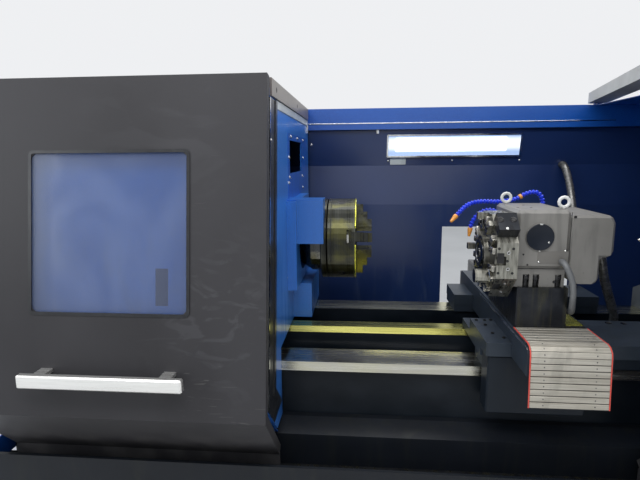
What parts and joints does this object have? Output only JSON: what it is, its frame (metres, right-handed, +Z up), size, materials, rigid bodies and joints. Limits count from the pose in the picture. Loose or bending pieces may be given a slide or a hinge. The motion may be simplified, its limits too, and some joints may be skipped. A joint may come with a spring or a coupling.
{
  "type": "cnc turning lathe",
  "caption": "Flat-bed turning lathe with guards, sliding doors, scroll chuck, turret on a cross slide, tailstock and control pendant.",
  "frame": {"origin": "middle of the footprint on the floor", "axes": "+X along the spindle towards the tailstock, +Y to the back of the machine, +Z up"},
  "size_m": [3.73, 2.24, 1.9603],
  "materials": {
    "dark_paint": "satin, worn",
    "black_steel": "blackened",
    "bed_iron": "ground ways, painted sides",
    "casting": "painted casting",
    "blue_paint": "hammered satin coat",
    "lamp_lens": "translucent",
    "light_paint": "fine texture",
    "belt_rubber": "matt",
    "bright_steel": "ground",
    "door_paint": "matte charcoal coat",
    "pane": "clear",
    "handle_metal": "satin",
    "ground_steel": "turned, oiled",
    "grey_rubber": "ribbed sheath",
    "turret_grey": "satin",
    "blue_plastic": "moulded segments",
    "slat_metal": "anodised slats",
    "black_plastic": "moulded",
    "red_plastic": "moulded",
    "green_plastic": "moulded"
  },
  "bodies": {
    "machine": {"base_frame": "dark_paint", "lower_door_rail": "black_steel", "bed_casting": "bed_iron", "headstock_casting": "casting", "headstock_side_wall": "blue_paint", "headstock_cover": "blue_paint", "tail_cover": "blue_paint", "left_end_plate": "blue_paint", "right_end_plate": "blue_paint", "rear_guard": "blue_paint", "lamp_lens": "lamp_lens", "electrical_cabinet": "light_paint", "coolant_tank": "dark_paint", "main_motor": "dark_paint", "drive_belt": "belt_rubber", "z_servo_motor": "black_steel"},
    "motor_pulley": {"motor_pulley": "casting"},
    "z_screw": {"z_ball_screw": "bright_steel"},
    "left_door": {"left_door_panel": "door_paint", "left_door_window": "pane", "left_door_handle": "handle_metal"},
    "right_door": {"right_door_panel": "door_paint", "right_door_window": "pane", "right_door_handle": "handle_metal"},
    "spindle": {"spindle_shaft": "black_steel", "spindle_pulley": "casting", "chuck_backplate": "ground_steel", "chuck_body": "ground_steel"},
    "scroll": {"scroll_plate": "bright_steel"},
    "chuck_jaw_1": {"chuck_jaw_1": "ground_steel"},
    "chuck_jaw_2": {"chuck_jaw_2": "ground_steel"},
    "chuck_jaw_3": {"chuck_jaw_3": "ground_steel"},
    "key_pinion_1": {"key_pinion_1": "black_steel"},
    "key_pinion_2": {"key_pinion_2": "black_steel"},
    "key_pinion_3": {"key_pinion_3": "black_steel"},
    "saddle": {"saddle_casting": "casting", "apron_cover": "dark_paint", "x_servo_motor": "black_steel", "overhead_conduit": "grey_rubber"},
    "x_screw": {"x_ball_screw": "bright_steel"},
    "cross_slide": {"turret_block": "black_steel", "turret_housing": "turret_grey", "turret_motor_cover": "turret_grey", "coolant_hose_long": "blue_plastic", "coolant_hose_short": "blue_plastic", "front_conduit": "grey_rubber", "rear_conduit": "grey_rubber", "slat_curtain": "slat_metal"},
    "turret_disc": {"turret_disc": "black_steel", "tool_block": "black_steel"},
    "tailstock": {"tailstock_body": "casting"},
    "quill": {"tailstock_quill": "bright_steel"},
    "live_centre": {"live_centre": "bright_steel"},
    "tail_handwheel": {"tail_handwheel": "black_plastic"},
    "pendant_arm": {"pendant_arm": "light_paint"},
    "pendant": {"pendant_housing": "light_paint"},
    "emergency_stop": {"emergency_stop": "red_plastic"},
    "start_button": {"start_button": "green_plastic"},
    "override_knob": {"override_knob": "black_plastic"},
    "pulse_handwheel": {"pulse_handwheel": "black_plastic"}
  },
  "joints": [
    {"name": "left_door_slide", "type": "slide", "parent": "machine", "child": "left_door", "axis": [1, 0, 0], "range_m": [0, 0.7]},
    {"name": "right_door_slide", "type": "slide", "parent": "machine", "child": "right_door", "axis": [1, 0, 0], "range_m": [-0.73, 0]},
    {"name": "spindle_turn", "type": "hinge", "parent": "machine", "child": "spindle", "pos_m": [0, 0, 1.175], "axis": [1, 0, 0], "continuous": true},
    {"name": "motor_pulley_turn", "type": "hinge", "parent": "machine", "child": "motor_pulley", "pos_m": [-1.5, 0.44, 0.64], "axis": [1, 0, 0], "continuous": true},
    {"name": "scroll_turn", "type": "hinge", "parent": "spindle", "child": "scroll", "pos_m": [0, 0, 1.175], "axis": [1, 0, 0], "range_deg": [-1008, 1008]},
    {"name": "jaw_1_slide", "type": "slide", "parent": "spindle", "child": "chuck_jaw_1", "axis": [0, -0.9816, 0.1908], "range_m": [-0.0281, 0.0281]},
    {"name": "jaw_2_slide", "type": "slide", "parent": "spindle", "child": "chuck_jaw_2", "axis": [0, 0.3256, -0.9455], "range_m": [-0.0281, 0.0281]},
    {"name": "jaw_3_slide", "type": "slide", "parent": "spindle", "child": "chuck_jaw_3", "axis": [0, 0.6561, 0.7547], "range_m": [-0.0281, 0.0281]},
    {"name": "key_1_turn", "type": "hinge", "parent": "spindle", "child": "key_pinion_1", "pos_m": [-0.3975, 0, 1.175], "axis": [0, -0.6561, -0.7547], "continuous": true},
    {"name": "key_2_turn", "type": "hinge", "parent": "spindle", "child": "key_pinion_2", "pos_m": [-0.3975, 0, 1.175], "axis": [0, 0.9816, -0.1908], "continuous": true},
    {"name": "key_3_turn", "type": "hinge", "parent": "spindle", "child": "key_pinion_3", "pos_m": [-0.3975, 0, 1.175], "axis": [0, -0.3256, 0.9455], "continuous": true},
    {"name": "z_screw_turn", "type": "hinge", "parent": "machine", "child": "z_screw", "pos_m": [1.62, -0.288, 0.655], "axis": [1, 0, 0], "continuous": true},
    {"name": "saddle_slide", "type": "slide", "parent": "machine", "child": "saddle", "axis": [1, 0, 0], "range_m": [-0.3, 0.22], "deforming": ["overhead_conduit"]},
    {"name": "x_screw_turn", "type": "hinge", "parent": "saddle", "child": "x_screw", "pos_m": [0.4375, 0.4, 0.88], "axis": [0, 1, 0], "continuous": true},
    {"name": "cross_slide_travel", "type": "slide", "parent": "saddle", "child": "cross_slide", "axis": [0, 1, 0], "range_m": [-0.04, 0.26], "deforming": ["slat_curtain", "rear_conduit"]},
    {"name": "turret_index", "type": "hinge", "parent": "cross_slide", "child": "turret_disc", "pos_m": [0.205, -0.485, 1.2], "axis": [1, 0, 0], "continuous": true},
    {"name": "tailstock_slide", "type": "slide", "parent": "machine", "child": "tailstock", "axis": [1, 0, 0], "range_m": [-0.25, 0.07]},
    {"name": "quill_feed", "type": "slide", "parent": "tailstock", "child": "quill", "axis": [-1, 0, 0], "range_m": [-0.025, 0.1]},
    {"name": "live_centre_turn", "type": "hinge", "parent": "quill", "child": "live_centre", "pos_m": [1.13, 0, 1.175], "axis": [1, 0, 0], "continuous": true},
    {"name": "tail_handwheel_turn", "type": "hinge", "parent": "tailstock", "child": "tail_handwheel", "pos_m": [1.57, 0, 1.175], "axis": [1, 0, 0], "continuous": true},
    {"name": "pendant_arm_swing", "type": "hinge", "parent": "machine", "child": "pendant_arm", "pos_m": [1.13, 0.7, 1.886], "axis": [0, 0, 1], "range_deg": [-3, 25]},
    {"name": "pendant_swivel", "type": "hinge", "parent": "pendant_arm", "child": "pendant", "pos_m": [0.74238, -1.02, 1.9], "axis": [0, 0, 1], "range_deg": [-40, 40]},
    {"name": "emergency_stop_press", "type": "slide", "parent": "pendant", "child": "emergency_stop", "axis": [0, 1, 0], "range_m": [0, 0.005], "stiffness_N_per_m": 500},
    {"name": "start_button_press", "type": "slide", "parent": "pendant", "child": "start_button", "axis": [0, 1, 0], "range_m": [0, 0.005], "stiffness_N_per_m": 300},
    {"name": "override_knob_turn", "type": "hinge", "parent": "pendant", "child": "override_knob", "pos_m": [0.73478, -1.098, 1.3103], "axis": [0, 1, 0], "range_deg": [-140, 140]},
    {"name": "pulse_handwheel_turn", "type": "hinge", "parent": "pendant", "child": "pulse_handwheel", "pos_m": [0.85638, -1.098, 1.3103], "axis": [0, 1, 0], "continuous": true}
  ],
  "couplings": [
    {"joint": "motor_pulley_turn", "follows": "spindle_turn", "ratio": 1.3636},
    {"joint": "jaw_1_slide", "follows": "scroll_turn", "m_per_rad": 0.0015915},
    {"joint": "jaw_2_slide", "follows": "scroll_turn", "m_per_rad": 0.0015915},
    {"joint": "jaw_3_slide", "follows": "scroll_turn", "m_per_rad": 0.0015915},
    {"joint": "key_1_turn", "follows": "scroll_turn", "ratio": -8.8},
    {"joint": "key_2_turn", "follows": "scroll_turn", "ratio": -8.8},
    {"joint": "key_3_turn", "follows": "scroll_turn", "ratio": -8.8},
    {"joint": "z_screw_turn", "follows": "saddle_slide", "rad_per_m": 628.32},
    {"joint": "x_screw_turn", "follows": "cross_slide_travel", "rad_per_m": 628.32},
    {"joint": "tail_handwheel_turn", "follows": "quill_feed", "rad_per_m": 1256.6}
  ]
}
